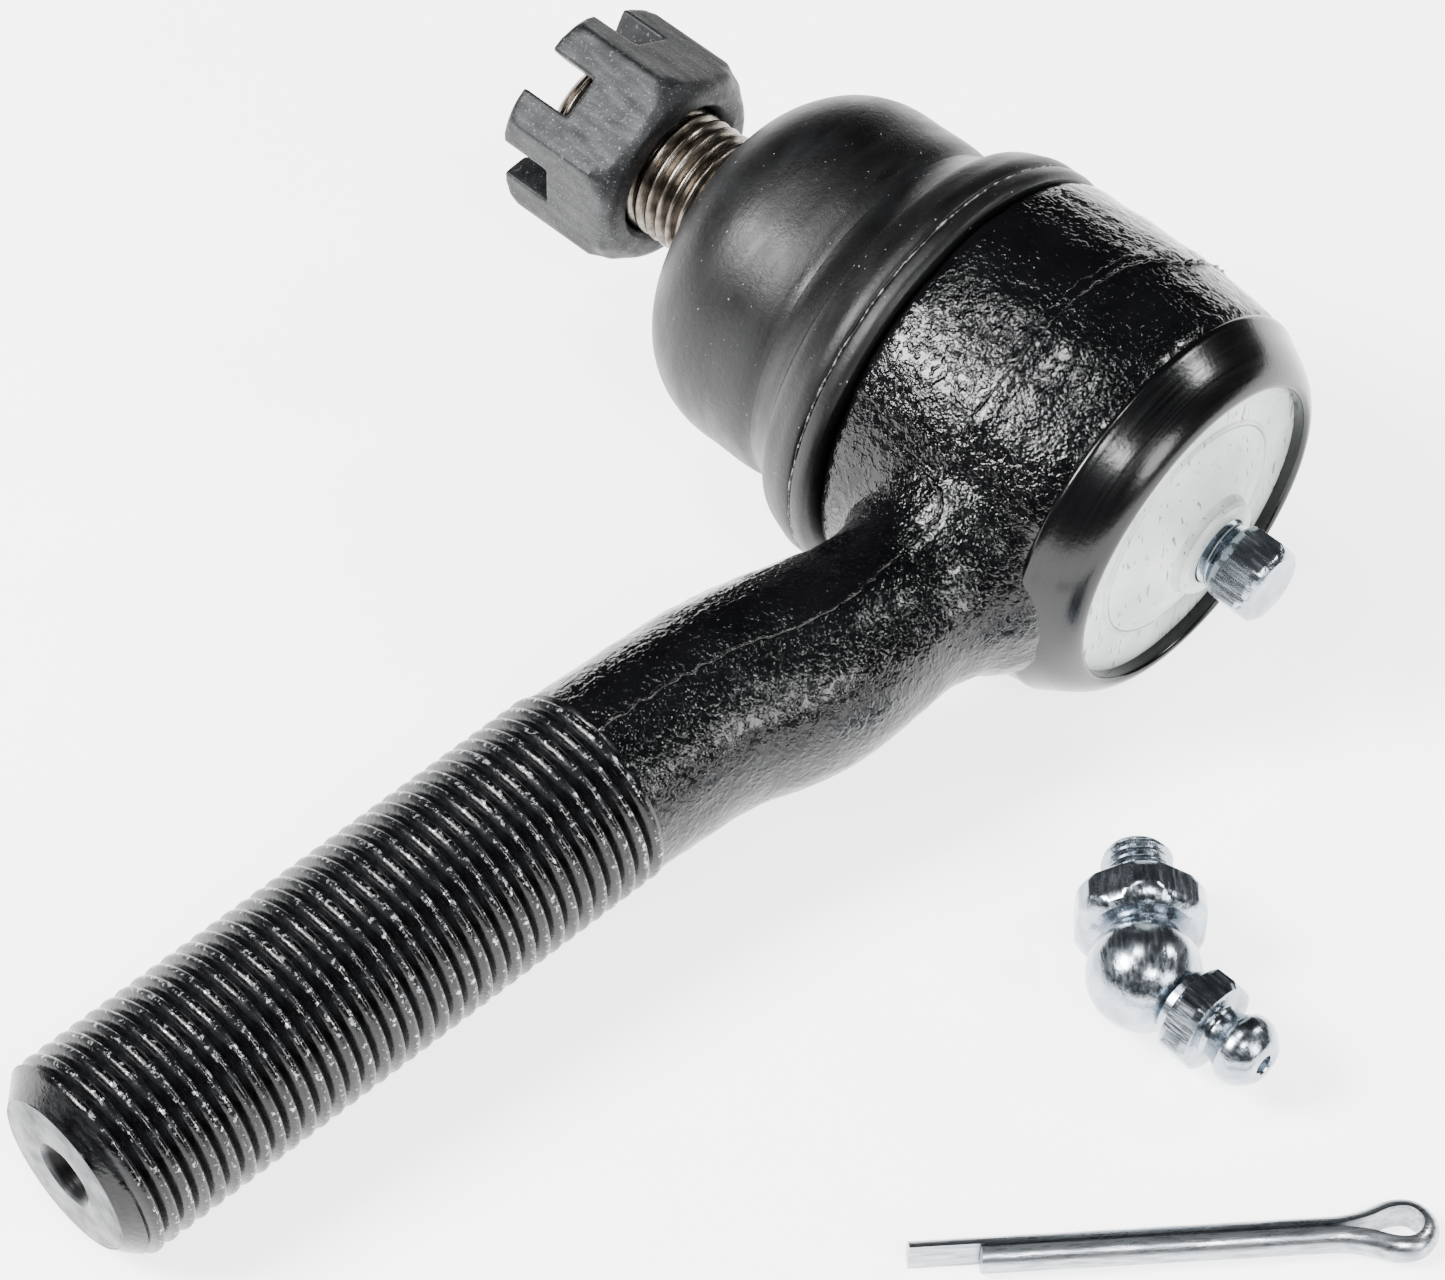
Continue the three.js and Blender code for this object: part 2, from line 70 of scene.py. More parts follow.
NECK = [
    (15, 4, 11.8), (18, 4.2, 10.9), (20.5, 4.3, 9.2), (23.5, 4.3, 8.4), (27, 4.3, 8.5),
    (31, 3.95, 9.1), (35, 3.35, 9.5), (38.5, 2.45, 9.5), (42, 1.5, 9.3), (46, 0.95, 9.1),
    (52, 0.6, 9.1), (56.5, 0.35, 9.1),
]


def colour(code):
    """A colour from its sRGB hex code, as linear values."""
    parts = [int(code[i:i + 2], 16) / 255 for i in (1, 3, 5)]
    return [c / 12.92 if c <= 0.04045 else ((c + 0.055) / 1.055) ** 2.4 for c in parts] + [1]


def node(tree, kind, inputs=None, **settings):
    """Adds one node with its settings, values and links, and returns its first output."""
    made = tree.nodes.new("ShaderNode" + kind)
    for name, value in settings.items():
        setattr(made, name, value)
    for socket, value in (inputs or {}).items():
        if isinstance(value, bpy.types.NodeSocket):
            tree.links.new(value, made.inputs[socket])
        else:
            made.inputs[socket].default_value = value
    return made.outputs[0] if made.outputs else None


def material(name):
    made = bpy.data.materials.new(name)
    made.use_nodes = True
    made.node_tree.nodes.clear()
    return made, made.node_tree


def surface(tree, **inputs):
    """The finish itself, a Principled shader joined to the output."""
    named = {key.replace("_", " "): value for key, value in inputs.items()}
    shader = node(tree, "BsdfPrincipled", named)
    node(tree, "OutputMaterial", {"Surface": shader})


def place(tree, stretch=(1, 1, 1)):
    """The piece's own millimetre coordinates, stored on its mesh before it was laid down."""
    own = node(tree, "Attribute", attribute_name="own")
    own = own.node.outputs["Vector"]
    return node(tree, "VectorMath", {0: own, 1: stretch}, operation="MULTIPLY")


def round_place(tree, across, along_axis, around):
    """Coordinates wrapped round the piece's Y axis: radius, height and arc, each stretched."""
    own = node(tree, "Attribute", attribute_name="own").node.outputs["Vector"]
    split = node(tree, "SeparateXYZ", {0: own}).node.outputs
    flat = node(tree, "CombineXYZ", {0: split[0], 1: split[2]})
    radius = node(tree, "VectorMath", {0: flat}, operation="LENGTH").node.outputs["Value"]
    facing = node(tree, "VectorMath", {0: flat}, operation="NORMALIZE")
    facing = node(tree, "VectorMath", {0: facing, "Scale": around}, operation="SCALE")
    tall = node(tree, "Math", {0: radius, 1: across}, operation="MULTIPLY")
    high = node(tree, "Math", {0: split[1], 1: along_axis}, operation="MULTIPLY")
    both = node(tree, "Math", {0: tall, 1: high}, operation="ADD")
    turn = node(tree, "SeparateXYZ", {0: facing}).node.outputs
    return node(tree, "CombineXYZ", {0: turn[0], 1: turn[1], 2: both})


def grain(tree, where, size, detail=2.0, roughness=0.55):
    """Noise whose grains are that many millimetres across."""
    inputs = {"Vector": where, "Scale": 1 / size, "Detail": detail, "Roughness": roughness}
    return node(tree, "TexNoise", inputs)


def ramp(tree, value, low, high, start=0.0, end=1.0):
    """The value's stretch from low to high, spread from start to end."""
    inputs = {0: value, 1: low, 2: high, 3: start, 4: end}
    return node(tree, "MapRange", inputs)


def mix(tree, share, first, second):
    """The first colour where the share is 0, the second where it is 1."""
    made = node(tree, "Mix", {0: share, 6: first, 7: second}, data_type="RGBA")
    return made.node.outputs[2]


def bump(tree, height, depth, under=None):
    """A bump whose full height is that many millimetres."""
    inputs = {"Height": height, "Distance": depth / 1000, "Strength": 1.0}
    if under is not None:
        inputs["Normal"] = under
    return node(tree, "Bump", inputs)


def turned(bm, outline, steps):
    """Spins (radius, height) points once round the Y axis. A closed outline repeats its first."""
    points = [bm.verts.new((radius, height, 0)) for radius, height in outline]
    edges = [bm.edges.new(pair) for pair in zip(points, points[1:])]
    bmesh.ops.spin(
        bm, geom=points + edges, cent=(0, 0, 0), axis=(0, 1, 0), dvec=(0, 0, 0),
        angle=2 * math.pi, steps=steps, use_merge=True,
    )
    bmesh.ops.remove_doubles(bm, verts=bm.verts, dist=1e-4)


def smoothed(points, per_span):
    """More points on a smooth curve through these ones."""
    knots = [Vector(point) for point in points]
    knots = [2 * knots[0] - knots[1]] + knots + [2 * knots[-1] - knots[-2]]
    found = []
    for a, b, c, d in zip(knots, knots[1:], knots[2:], knots[3:]):
        for i in range(per_span):
            t = i / per_span
            square = 2 * a - 5 * b + 4 * c - d
            cube = 3 * b - a - 3 * c + d
            found.append(0.5 * (2 * b + (c - a) * t + square * t * t + cube * t ** 3))
    return found + [Vector(points[-1])]


def tube(bm, rings):
    """Joins rings of points into a closed tube with flat ends."""
    loops = [[bm.verts.new(point) for point in ring] for ring in rings]
    for low, high in zip(loops, loops[1:]):
        for i in range(len(low)):
            j = (i + 1) % len(low)
            bm.faces.new((low[i], low[j], high[j], high[i]))
    bm.faces.new(list(reversed(loops[0])))
    bm.faces.new(loops[-1])


def raw(bm, name):
    """The mesh as an object in its own millimetre coordinates."""
    bmesh.ops.recalc_face_normals(bm, faces=bm.faces)
    mesh = bpy.data.meshes.new(name)
    bm.to_mesh(mesh)
    bm.free()
    piece = bpy.data.objects.new(name, mesh)
    bpy.context.scene.collection.objects.link(piece)
    return piece


def applied(piece):
    """Bakes the object's modifiers into its mesh."""
    bpy.context.view_layer.update()
    seen = piece.evaluated_get(bpy.context.evaluated_depsgraph_get())
    done = bpy.data.meshes.new_from_object(seen)
    piece.modifiers.clear()
    piece.data = done


def laid(piece, where, finish, body, nodes, sharp=40):
    """Stores the piece's own coordinates, lays it in place, attaches it to its CAD body when it has one
    and hides the CAD nodes it stands in for.
    """
    mesh = piece.data
    own = mesh.attributes.new("own", "FLOAT_VECTOR", "POINT")
    own.data.foreach_set("vector", [c for v in mesh.vertices for c in v.co])
    mesh.transform(Matrix.Scale(0.001, 4) @ where)
    mesh.materials.clear()
    mesh.materials.append(finish)
    mesh.shade_smooth()
    mesh.set_sharp_from_angle(angle=math.radians(sharp))
    if body:
        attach(piece, body)
    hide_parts(*nodes)


def stem_point(distance, towards_cap, up=0.0):
    """A point that far along the leaning stem, and that far to its cap side and up."""
    along = Vector((-math.cos(STEM_LEAN), math.sin(STEM_LEAN), 0))
    side = Vector((-math.sin(STEM_LEAN), -math.cos(STEM_LEAN), 0))
    return along * distance + side * towards_cap + Vector((0, 0, up))


def forged_skin(at):
    """How far the skin stands out, from soft lumps and finer scale pits, in millimetres."""
    return 0.10 * noise.noise(at * 0.35) + 0.06 * noise.noise(at * 0.9)


# Gloss black paint: the eye gets a rough pebbly skin with wet, sharp little highlights.
black_paint, tree = material("gloss black dip paint on a forged skin")
pebbles = grain(tree, place(tree), 0.6, 2.0, 0.5)
pits = grain(tree, place(tree), 0.3, 2.0, 0.5)
dust = grain(tree, place(tree), 6.0, 2.0)
lumps = bump(tree, ramp(tree, pebbles, 0.45, 0.72), 0.055)
lumps = bump(tree, pits, 0.022, lumps)
surface(
    tree, Base_Color=mix(tree, ramp(tree, dust, 0.35, 0.7), colour("#030304"), colour("#08080a")),
    Roughness=ramp(tree, pits, 0.3, 0.8, 0.12, 0.24), Normal=lumps, Specular_IOR_Level=0.32,
)

bm = bmesh.new()
turned(bm, HOUSING_OUTLINE + HOUSING_OUTLINE[:1], 96)
stations = smoothed(NECK, 3)
rings = []
for i, station in enumerate(stations):
    before, after = stations[max(i - 1, 0)], stations[min(i + 1, len(stations) - 1)]
    slope = stem_point(after.x, after.y) - stem_point(before.x, before.y)
    side = slope.normalized().cross(Vector((0, 0, 1)))
    centre = stem_point(station.x, station.y)
    rings.append([
        centre + station.z * (side * math.cos(a) + Vector((0, 0, math.sin(a))))
        for a in (2 * math.pi * j / 48 for j in range(48))
    ])
tube(bm, rings)
housing = raw(bm, "housing")
fused = housing.modifiers.new("fused", "REMESH")
fused.mode = "VOXEL"
fused.voxel_size = SKIN_VOXEL
softened = housing.modifiers.new("softened", "SMOOTH")
softened.factor = 0.5
softened.iterations = 4
applied(housing)
bm = bmesh.new()
bm.from_mesh(housing.data)
# The fillet where the neck leaves the socket.
corner = [v for v in bm.verts if 16 < -v.co.x < 27 and abs(v.co.z) < 15]
for _ in range(14):
    bmesh.ops.smooth_vert(
        bm, verts=corner, factor=0.5, use_axis_x=True, use_axis_y=True, use_axis_z=True,
    )
bm.normal_update()
middle = [(s.x, s.y) for s in stations]
for v in bm.verts:
    x, y, z = v.co
    out = math.hypot(x, z)
    push = forged_skin(v.co)
    if out > 15 and x > -21:
        push += 0.12 * math.exp(-((y + 1.6) / 0.7) ** 2)
    if x < -19:
        distance = -x * math.cos(STEM_LEAN) + y * math.sin(STEM_LEAN)
        towards = -x * math.sin(STEM_LEAN) - y * math.cos(STEM_LEAN)
        near = min(range(len(middle)), key=lambda k: abs(middle[k][0] - distance))
        push += 0.1 * math.exp(-((towards - middle[near][1] - 1.2) / 0.9) ** 2)
    if out > 14.5 or x < -19:
        v.co += v.normal * push
    v.co.z += max(0, TABLE_GAP - (LYING @ v.co).z)
bm.to_mesh(housing.data)
bm.free()
skin = BVHTree.FromPolygons(
    [v.co for v in housing.data.vertices], [f.vertices for f in housing.data.polygons],
)
laid(housing, LYING, black_paint, "housing", ["housing_forging"], 180)

# Trimmed flash: the thin ragged ridge left where the two dies met, round the socket and along the
# neck. It is painted with the rest, and its edge catches the light.
NECK_FLASH = [
    (56, 1.3), (50, 1.7), (45, 2.35), (41, 3.1), (36, 5.0), (31, 5.5), (27, 4.9), (23, 4.25),
    (20, 4.6), (18.6, 4.3), (17.4, 2.4), (17.2, 0.8),
]
SOCKET_FLASH = [
    (-14.5, -0.6), (-12, -0.9), (-9, -1.2), (-5.9, -1.1), (-0.5, -1.1), (3.7, -1.5), (7.3, -2.0),
    (11, -3.2), (13.6, -3.7), (17, -3.4), (19.6, -2.8),
]
SOCKET_R = 20.45


def ridge(bm, points, height, width):
    """A ragged ridge on the skin along these points."""
    rings = []
    for i, point in enumerate(points):
        at, out, _, _ = skin.find_nearest(point)
        ahead = points[min(i + 1, len(points) - 1)] - points[max(i - 1, 0)]
        side = out.cross(ahead).normalized()
        fade = min(1, i / 4, (len(points) - 1 - i) / 4)
        tall = height * fade * (0.8 + 0.9 * noise.noise(at * 0.9))
        at = at + side * 0.3 * noise.noise(at * 1.1 + Vector((7, 0, 0)))
        rings.append([
            at - side * width - out * 0.15, at - side * width * 0.3 + out * tall,
            at + side * width * 0.3 + out * tall * 0.8, at + side * width - out * 0.15,
        ])
    tube(bm, rings)


bm = bmesh.new()
line = [stem_point(d, t, 10) for d, t, _ in smoothed([(d, t, 0) for d, t in NECK_FLASH], 14)]
ridge(bm, line, 0.42, 0.36)
line = smoothed([(x, y, 0) for x, y in SOCKET_FLASH], 14)
line = [Vector((x, y, math.sqrt(SOCKET_R ** 2 - x * x))) for x, y, _ in line]
ridge(bm, line, 0.36, 0.28)
ridge(bm, [point + Vector((0.2, 1.1, 0)) for point in line[20:90]], 0.16, 0.22)
flash = raw(bm, "trimmed_flash")
laid(flash, LYING, black_paint, "housing", ["housing_forging"], 180)

# Rolled lip: the rim of the socket, spun over the cover plate. It is turned smooth before the
# paint, so the paint lies flat and satin on it.
LIP_OUTLINE = [
    (18.4, -10.6), (19.2, -10.75), (19.45, -11.05), (19.4, -11.5), (19.0, -12.2), (18.5, -13.1),
    (18.0, -14), (17.3, -15), (16.7, -15.65), (16.1, -16.1), (15.6, -16.3), (15.25, -16.2),
    (15.1, -15.85), (15.1, -15), (15.2, -14.4), (14.6, -14.2), (14.6, -11.0),
]

# Satin black paint on turned steel: smooth, with faint rings and a soft sheen that follows the rim.
satin_black, tree = material("satin black paint on a spun lip")
marks = grain(tree, round_place(tree, 5.0, 5.0, 1.5), 1.0, 3.0)
specks = grain(tree, place(tree), 0.5, 2.0)
surface(
    tree, Base_Color=mix(tree, ramp(tree, marks, 0.4, 0.7), colour("#040405"), colour("#0a0b0c")),
    Roughness=ramp(tree, marks, 0.3, 0.7, 0.15, 0.24),
    Normal=bump(tree, specks, 0.012, bump(tree, marks, 0.007)), Specular_IOR_Level=0.34,
)
bm = bmesh.new()
outline = [(p.x, p.y) for p in smoothed([(r, h, 0) for r, h in LIP_OUTLINE], 3)]
turned(bm, outline + outline[:1], 180)
lip = raw(bm, "rolled_lip")
laid(lip, LYING, satin_black, "housing", ["housing_forging"], 60)

# Stem thread: 3/4-16, rolled on the end of the forging and painted with it, so that its crests are
# rounded and worn to bright steel in places. Its end is chamfered and faced, with a centre hole.
STEM_R = 9.45
STEM_PITCH = 1.5875
STEM_ROOT = 0.82
CHAMFER = 2.1


def threaded(bm, outer, depth, pitch, start, end, steps, chamfer, runout=1.0, low_chamfer=0.0):
    """A helical thread along Y, with a run-out at its start and a chamfer at its end."""
    form = [(0.0, 1.0), (0.16, 0.93), (0.38, 0.35), (0.5, 0.0), (0.62, 0.35), (0.84, 0.93), (1.0, 1.0)]
    turns = math.ceil((end - start) / pitch) + 2
    earlier = set(bm.verts)
    points = [
        bm.verts.new((outer - depth + depth * rise, start - pitch + at * pitch, 0))
        for at, rise in form
    ]
    edges = [bm.edges.new(pair) for pair in zip(points, points[1:])]
    bmesh.ops.spin(
        bm, geom=points + edges, cent=(0, 0, 0), axis=(0, 1, 0), dvec=(0, pitch / steps, 0),
        angle=2 * math.pi * turns, steps=steps * turns, use_merge=False,
    )
    added = [v for v in bm.verts if v not in earlier]
    bmesh.ops.remove_doubles(bm, verts=added, dist=pitch / 400)
    added = [v for v in added if v.is_valid]
    for v in added:
        radius = math.hypot(v.co.x, v.co.z)
        height = min(max(v.co.y, start), end)
        limit = min(outer, outer - chamfer + (end - height), outer - low_chamfer + (height - start))
        if v.co.y < start + runout:
            radius = max(radius, outer - depth * min(1, max(0, (v.co.y - start) / runout)))
        radius = min(radius, limit)
        turn = math.atan2(v.co.z, v.co.x)
        v.co = (radius * math.cos(turn), height, radius * math.sin(turn))
    edges = {edge for v in added for edge in v.link_edges}
    bmesh.ops.dissolve_degenerate(bm, dist=1e-4, edges=list(edges))


def from_axis(tree):
    """How far a point is from the piece's Y axis, in millimetres."""
    own = node(tree, "Attribute", attribute_name="own").node.outputs["Vector"]
    split = node(tree, "SeparateXYZ", {0: own}).node.outputs
    flat = node(tree, "CombineXYZ", {0: split[0], 1: split[2]})
    return node(tree, "VectorMath", {0: flat}, operation="LENGTH").node.outputs["Value"]


STEM = Matrix.Translation(stem_point(0, 0.35)) @ Matrix.Rotation(math.pi / 2 - STEM_LEAN, 4, "Z")

# Black paint on a rolled thread: glossy in the roots, with pale steel nicks along the crests.
worn_black, tree = material("black paint worn off thread crests")
crest = ramp(tree, from_axis(tree), STEM_R - 0.16, STEM_R - 0.02)
dings = ramp(tree, grain(tree, place(tree), 0.55, 4.0, 0.75), 0.57, 0.62)
worn = node(tree, "Math", {0: crest, 1: dings}, operation="MULTIPLY")
runs = grain(tree, round_place(tree, 2.0, 0.0, 4.0), 1.0, 3.0)
paint = mix(tree, ramp(tree, runs, 0.4, 0.65), colour("#040405"), colour("#121315"))
surface(
    tree, Base_Color=mix(tree, worn, paint, colour("#b9bbbd")),
    Metallic=node(tree, "Math", {0: worn, 1: 0.6}, operation="MULTIPLY"),
    Roughness=ramp(tree, runs, 0.3, 0.7, 0.16, 0.32),
    Normal=bump(tree, grain(tree, place(tree), 0.5, 3.0), 0.04), Specular_IOR_Level=0.28,
)
bm = bmesh.new()
threaded(
    bm, STEM_R, STEM_ROOT, STEM_PITCH, THREAD_START, STEM_END, steps=60, chamfer=CHAMFER,
    runout=1.2, low_chamfer=0.5,
)
thread = raw(bm, "stem_thread")
laid(thread, LYING @ STEM, worn_black, "housing", ["housing_forging"], 50)

# Steel faced on a lathe: grey and matt, with soft rings and stains; its centre hole is painted near
# black as shade in the recess.
faced_steel, tree = material("steel faced on a lathe")
rings_cut = grain(tree, round_place(tree, 4.5, 0.0, 0.8), 1.0, 2.0)
stain = grain(tree, place(tree), 2.5, 3.0)
# Painted shade: inside the centre hole the colour goes near black, as if the recess were in shadow.
centre_hole_shade = ramp(tree, from_axis(tree), 2.7, 3.2)
steel = mix(tree, ramp(tree, stain, 0.35, 0.7), colour("#5d5f62"), colour("#26282a"))
surface(
    tree, Base_Color=mix(tree, centre_hole_shade, colour("#020203"), steel),
    Metallic=0.8, Roughness=ramp(tree, stain, 0.3, 0.7, 0.34, 0.5), Normal=bump(tree, rings_cut, 0.07),
)
bm = bmesh.new()
depths = [
    (7.37, 1.2), (7.36, 0.05), (7.25, 0), (3.1, 0), (2.8, 0.3), (2.1, 1.4), (1.5, 2.4), (1.35, 4.5),
    (0.0, 5),
]
turned(bm, [(radius, STEM_END - depth) for radius, depth in depths], 96)
for v in bm.verts:
    radius = math.hypot(v.co.x, v.co.z)
    if 1 < radius < 3.3:
        v.co.x *= 1 + 0.07 * noise.noise(v.co * 0.9)
        v.co.z *= 1 + 0.07 * noise.noise(v.co * 0.9 + Vector((5, 5, 5)))
stem_face = raw(bm, "stem_end_face")
laid(stem_face, LYING @ STEM, faced_steel, "housing", ["housing_forging"], 30)

# Cover plate: a disc of sheet steel, zinc coated and dull, pressed with a step and a shallow cone
# and held by the rolled lip. Its middle is drawn out into a boss for the grease plug.
PLATE_OUTLINE = [
    (16.6, -13.5), (16.6, -14.9), (11.35, -14.9), (11.2, -14.96), (11.05, -15.12), (10.85, -15.22),
    (10.75, -15.02), (10.65, -15.22), (10.4, -15.27), (5.6, -17.2), (5.1, -17.5), (4.85, -18.0),
    (4.8, -18.3), (4.55, -18.65), (4.2, -18.8), (3.3, -18.8), (3.3, -16.2), (10.6, -13.8),
]

# Zinc coated sheet: pale and milky, with soft grey clouds and a few fine dark scratches.
zinc_sheet, tree = material("dull zinc coated sheet steel")
frost = grain(tree, place(tree), 0.7, 3.0, 0.6)
clouds = grain(tree, place(tree), 7.0, 2.0)
scratches = grain(tree, place(tree, (1.0, 1.0, 0.14)), 0.35, 1.0)
thin = ramp(tree, scratches, 0.67, 0.72)
milky = mix(tree, ramp(tree, clouds, 0.35, 0.7), colour("#c6cbc8"), colour("#a3aba9"))
surface(
    tree, Base_Color=mix(tree, thin, milky, colour("#6d7476")),
    Metallic=0.3, Roughness=ramp(tree, frost, 0.3, 0.7, 0.42, 0.6), Normal=bump(tree, frost, 0.02),
)
bm = bmesh.new()
turned(bm, PLATE_OUTLINE + PLATE_OUTLINE[:1], 160)
plate = raw(bm, "cover_plate_pressing")
laid(plate, LYING, zinc_sheet, "housing", ["cover_plate"], 25)

# Grease plug: a small hexagon-headed steel plug, bright zinc plated, with a 1/4-28 thread. It fills
# the hole for the grease fitting.
PLUG_FLATS = 7.14
GREASE_THREAD = {"outer": 3.15, "depth": 0.5, "pitch": 0.907}

# Bright zinc plating: a cool silver mirror, broken up by fine tool marks.
bright_zinc, tree = material("bright zinc plating")
brushed = grain(tree, place(tree, (1.0, 0.16, 1.0)), 0.4, 3.0)
tint = grain(tree, place(tree), 3.0, 2.0)
surface(
    tree, Base_Color=mix(tree, ramp(tree, tint, 0.35, 0.65), colour("#aab2ba"), colour("#868f98")),
    Metallic=1.0, Roughness=ramp(tree, brushed, 0.3, 0.7, 0.14, 0.3), Normal=bump(tree, brushed, 0.03),
)


def hexed(bm, outline, flats, turn, steps=216):
    """A turned blank with a hexagon cut on it: its radius is the lesser of the two, softly."""
    turned(bm, outline, steps)
    half = flats / 2
    for v in bm.verts:
        radius = math.hypot(v.co.x, v.co.z)
        if radius < 0.5 * flats - 1.2:
            continue
        angle = math.atan2(v.co.z, v.co.x)
        off = (angle - turn + math.pi / 6) % (math.pi / 3) - math.pi / 6
        limit = half / math.cos(off)
        soft = 0.05
        lesser = 0.5 * (radius + limit - math.sqrt((radius - limit) ** 2 + soft * soft))
        v.co.x *= lesser / radius
        v.co.z *= lesser / radius


bm = bmesh.new()
corner_r = PLUG_FLATS / math.sqrt(3)
head = [(0, -24.9), (2.7, -24.9), (3.15, -24.84), (3.45, -24.6), (3.75, -24.3), (corner_r, -23.8)]
head += [(corner_r, -23.8 + 0.3 * i) for i in range(1, 10)]
head += [(3.75, -20.6), (3.45, -20.3), (3.2, -20.1), (2.9, -20.05), (0, -20.05)]
hexed(bm, head, PLUG_FLATS, math.pi / 6)
threaded(bm, **GREASE_THREAD, start=-20.1, end=-15.3, steps=48, chamfer=0.4, runout=0.01)
plug = raw(bm, "plug")
laid(plug, LYING, bright_zinc, "grease_plug", ["grease_plug"], 30)

# Castle nut: a hexagon of phosphate-coated steel with six slots for the cotter pin, sawn through
# its flats, and a wide rounded bearing chamfer.
NUT_FLATS = 19.05
NUT_START = 45.5
NUT_END = 58.9
SLOT_WIDTH = 4.3
SLOT_FLOOR = 53.5
NUT_VOXEL = 0.22

# Dark phosphate: a dry, patchy charcoal with tiny pale nicks and a dull sheen.
phosphate, tree = material("dark phosphate coating")
speck = grain(tree, place(tree), 0.28, 2.0, 0.7)
patch = grain(tree, place(tree), 2.2, 4.0, 0.6)
rub = grain(tree, place(tree, (1, 0.2, 1)), 0.8, 3.0)
charcoal = mix(tree, ramp(tree, patch, 0.35, 0.68), colour("#111213"), colour("#262729"))
surface(
    tree, Base_Color=mix(tree, ramp(tree, speck, 0.61, 0.74), charcoal, colour("#66686b")),
    Metallic=0.5, Roughness=ramp(tree, rub, 0.3, 0.7, 0.42, 0.6),
    Normal=bump(tree, speck, 0.035, bump(tree, patch, 0.05)),
)
bm = bmesh.new()
corner_r = NUT_FLATS / math.sqrt(3)
blank = [
    (6.6, NUT_START + 0.9), (7.3, NUT_START), (8.7, NUT_START), (9.3, NUT_START + 0.3),
    (10.2, NUT_START + 1.2), (corner_r, NUT_START + 2.7),
]
blank += [(corner_r, NUT_START + 2.7 + 0.7 * i) for i in range(1, 14)]
blank += [
    (corner_r - 0.35, NUT_END - 0.6), (corner_r - 0.9, NUT_END - 0.15), (corner_r - 1.6, NUT_END),
    (7.3, NUT_END), (6.6, NUT_END - 0.7), (6.6, NUT_START + 0.9),
]
hexed(bm, blank, NUT_FLATS, 0.0, 144)
nut = raw(bm, "nut")
cutters = []
for i in range(3):
    bm = bmesh.new()
    bmesh.ops.create_cube(bm, size=1)
    bmesh.ops.scale(bm, vec=(40, 20, SLOT_WIDTH), verts=bm.verts)
    bmesh.ops.translate(bm, vec=(0, SLOT_FLOOR + 10, 0), verts=bm.verts)
    turn = Matrix.Rotation(i * math.pi / 3, 3, "Y")
    bmesh.ops.rotate(bm, cent=(0, 0, 0), matrix=turn, verts=bm.verts)
    cutter = raw(bm, "slot_cutter")
    cut = nut.modifiers.new("slot", "BOOLEAN")
    cut.operation = "DIFFERENCE"
    cut.solver = "EXACT"
    cut.object = cutter
    cutters.append(cutter)
fused = nut.modifiers.new("fused", "REMESH")
fused.mode = "VOXEL"
fused.voxel_size = NUT_VOXEL
softened = nut.modifiers.new("softened", "SMOOTH")
softened.factor = 0.5
softened.iterations = 6
applied(nut)
for cutter in cutters:
    bpy.data.objects.remove(cutter)
laid(nut, LYING, phosphate, "castle_nut", ["castle_nut"], 180)

# Ball stud: a forged and turned steel stud, bare and oily, with a 1/2-20 rolled thread. Its taper
# and ball are inside the boot and the socket.
STUD_R = 6.3
STUD_PITCH = 1.27
STUD_ROOT = 0.68
STUD_TIP = 57.0
BALL_R = 11.1

# Bare oiled steel: warm brownish grey, with bright lines round the thread.
stud_steel, tree = material("bare oiled steel")
oil = grain(tree, place(tree), 2.0, 3.0)
lines = grain(tree, round_place(tree, 4.0, 4.0, 1.2), 1.0, 3.0)
surface(
    tree, Base_Color=mix(tree, ramp(tree, oil, 0.35, 0.68), colour("#7d766d"), colour("#39322c")),
    Metallic=1.0, Roughness=ramp(tree, lines, 0.3, 0.7, 0.2, 0.4), Normal=bump(tree, lines, 0.03),
)
bm = bmesh.new()
threaded(
    bm, STUD_R, STUD_ROOT, STUD_PITCH, 37.0, STUD_TIP, steps=60, chamfer=0.9, runout=0.8,
    low_chamfer=0.5,
)
stud_thread = raw(bm, "stud_thread")
laid(stud_thread, LYING, stud_steel, "stud", ["ball_stud"], 50)
bm = bmesh.new()
bends = [math.radians(-72 + 71 * i / 16) for i in range(17)]
shank = [(0, -10.6)] + [(BALL_R * math.cos(a), BALL_R * math.sin(a)) for a in bends]
shank += [(6, -0.15), (6, 10.2), (6.5, 12.2), (7.9, 14.2), (7.9, 15.2), (6.5, 36.6), (6.2, 37.2)]
shank += [(5.6, 37.6), (5.5, 56.2), (5.35, 56.95), (0, 56.95)]
turned(bm, shank, 96)
stud_shank = raw(bm, "stud_shank")
laid(stud_shank, LYING, stud_steel, "stud", ["ball_stud"], 30)

# Dust boot: moulded black rubber over the socket's mouth and the stud. Two flanges ring the mouth,
# then a slight waist and a round bell that closes on the stud. It sits a little off centre.
BOOT_LOW = [
    (15.6, 10.8), (20.0, 10.8), (20.75, 11.0), (21.0, 11.5), (21.0, 12.1), (20.92, 12.5),
    (20.7, 12.66), (20.35, 12.72), (20.7, 12.78), (20.92, 12.95), (21.0, 13.4), (20.95, 14.1),
    (20.65, 15), (20.3, 16),
    (20.0, 16.6), (19.7, 16.95), (19.35, 17.15), (18.9, 17.7), (18.1, 18.7), (17.6, 19.6), (17.4, 20.4),
]
BOOT_HIGH = [
    (17.4, 20.4), (17.45, 21.0), (17.6, 21.9), (17.68, 23.4), (17.6, 26), (17.6, 28.4), (17.3, 30.4),
    (16.5, 32.5), (15.2, 34.4), (13.4, 36.0), (11.4, 36.95), (9.4, 37.4), (7.6, 37.5), (6.9, 37.35),
    (6.75, 36.6),
]

